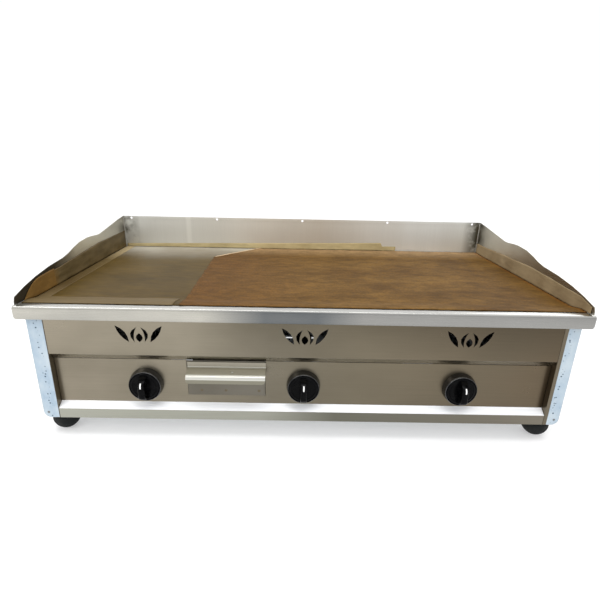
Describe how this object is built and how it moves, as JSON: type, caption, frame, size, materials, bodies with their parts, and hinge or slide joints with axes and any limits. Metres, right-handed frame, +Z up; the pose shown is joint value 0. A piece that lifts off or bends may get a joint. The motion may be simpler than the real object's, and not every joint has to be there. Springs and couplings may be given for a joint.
{
  "type": "flat top griddle",
  "caption": "Countertop gas griddle: flat steel plate with wavy splash guards, recessed knob panel, slide-out drip tray and rubber feet, still under its delivery paper.",
  "frame": {"origin": "centre of the overall bounding box at counter level, under the feet", "axes": "+X to the viewer's right along the width, +Y from the knobs to the back, +Z up"},
  "size_m": [1, 0.545, 0.349],
  "materials": {
    "brushed_steel": "brushed stainless sheet",
    "rim_steel": "bright brushed stainless sheet",
    "plate_steel": "ground steel plate",
    "galvanised_steel": "dull galvanised sheet",
    "burner_iron": "as cast, matt",
    "brass": "machined",
    "black_plastic": "gloss black",
    "rubber": "matt black",
    "kraft_paper": "unbleached kraft paper"
  },
  "bodies": {
    "unit": {"top_frame": "rim_steel", "griddle_plate": "plate_steel", "back_guard": "brushed_steel", "left_guard": "brushed_steel", "right_guard": "brushed_steel", "upper_front_panel": "brushed_steel", "control_panel": "brushed_steel", "left_side_panel": "brushed_steel", "right_side_panel": "brushed_steel", "back_panel": "galvanised_steel", "base_pan": "galvanised_steel", "left_plate_rest": "galvanised_steel", "right_plate_rest": "galvanised_steel", "burner_baffle": "galvanised_steel", "front_burner_rail": "galvanised_steel", "rear_burner_rail": "galvanised_steel", "left_tray_rail": "galvanised_steel", "right_tray_rail": "galvanised_steel", "front_left_foot": "rubber", "front_right_foot": "rubber", "back_left_foot": "rubber", "back_right_foot": "rubber", "front_left_foot_bolt": "galvanised_steel", "front_right_foot_bolt": "galvanised_steel", "back_left_foot_bolt": "galvanised_steel", "back_right_foot_bolt": "galvanised_steel", "left_burner": "burner_iron", "middle_burner": "burner_iron", "right_burner": "burner_iron", "left_injector": "brass", "middle_injector": "brass", "right_injector": "brass", "left_valve_body": "brass", "middle_valve_body": "brass", "right_valve_body": "brass", "left_bezel": "black_plastic", "middle_bezel": "black_plastic", "right_bezel": "black_plastic", "gas_manifold": "galvanised_steel", "left_manifold_bracket": "galvanised_steel", "right_manifold_bracket": "galvanised_steel", "inlet_pipe": "galvanised_steel", "inlet_fitting": "brass", "drain_chute": "brushed_steel"},
    "tray": {"drip_tray": "brushed_steel", "tray_handle": "rim_steel"},
    "paper": {"protective_paper": "kraft_paper"},
    "left_plug": {"left_valve_plug": "brass"},
    "middle_plug": {"middle_valve_plug": "brass"},
    "right_plug": {"right_valve_plug": "brass"},
    "left_control": {"left_knob": "black_plastic", "left_knob_stem": "galvanised_steel"},
    "middle_control": {"middle_knob": "black_plastic", "middle_knob_stem": "galvanised_steel"},
    "right_control": {"right_knob": "black_plastic", "right_knob_stem": "galvanised_steel"},
    "left_shutter": {"left_air_shutter": "galvanised_steel"},
    "middle_shutter": {"middle_air_shutter": "galvanised_steel"},
    "right_shutter": {"right_air_shutter": "galvanised_steel"}
  },
  "joints": [
    {"name": "left_valve_turn", "type": "hinge", "parent": "unit", "child": "left_plug", "pos_m": [-0.2925, -0.209, 0.11], "axis": [0, -1, 0], "range_deg": [0, 180]},
    {"name": "middle_valve_turn", "type": "hinge", "parent": "unit", "child": "middle_plug", "pos_m": [0, -0.209, 0.11], "axis": [0, -1, 0], "range_deg": [0, 180]},
    {"name": "right_valve_turn", "type": "hinge", "parent": "unit", "child": "right_plug", "pos_m": [0.2925, -0.209, 0.11], "axis": [0, -1, 0], "range_deg": [0, 180]},
    {"name": "left_knob_push", "type": "slide", "parent": "left_plug", "child": "left_control", "axis": [0, 1, 0], "range_m": [0, 0.003], "stiffness_N_per_m": 1500},
    {"name": "middle_knob_push", "type": "slide", "parent": "middle_plug", "child": "middle_control", "axis": [0, 1, 0], "range_m": [0, 0.003], "stiffness_N_per_m": 1500},
    {"name": "right_knob_push", "type": "slide", "parent": "right_plug", "child": "right_control", "axis": [0, 1, 0], "range_m": [0, 0.003], "stiffness_N_per_m": 1500},
    {"name": "left_air_shutter_turn", "type": "hinge", "parent": "unit", "child": "left_shutter", "pos_m": [-0.2925, -0.1685, 0.11], "axis": [0, 1, 0], "range_deg": [0, 45]},
    {"name": "middle_air_shutter_turn", "type": "hinge", "parent": "unit", "child": "middle_shutter", "pos_m": [0, -0.1685, 0.11], "axis": [0, 1, 0], "range_deg": [0, 45]},
    {"name": "right_air_shutter_turn", "type": "hinge", "parent": "unit", "child": "right_shutter", "pos_m": [0.2925, -0.1685, 0.11], "axis": [0, 1, 0], "range_deg": [0, 45]},
    {"name": "drip_tray_slide", "type": "slide", "parent": "unit", "child": "tray", "axis": [0, -1, 0], "range_m": [0, 0.3]},
    {"name": "paper_lift", "type": "slide", "parent": "unit", "child": "paper", "axis": [0, 0, 1], "range_m": [0, 0.25]}
  ]
}
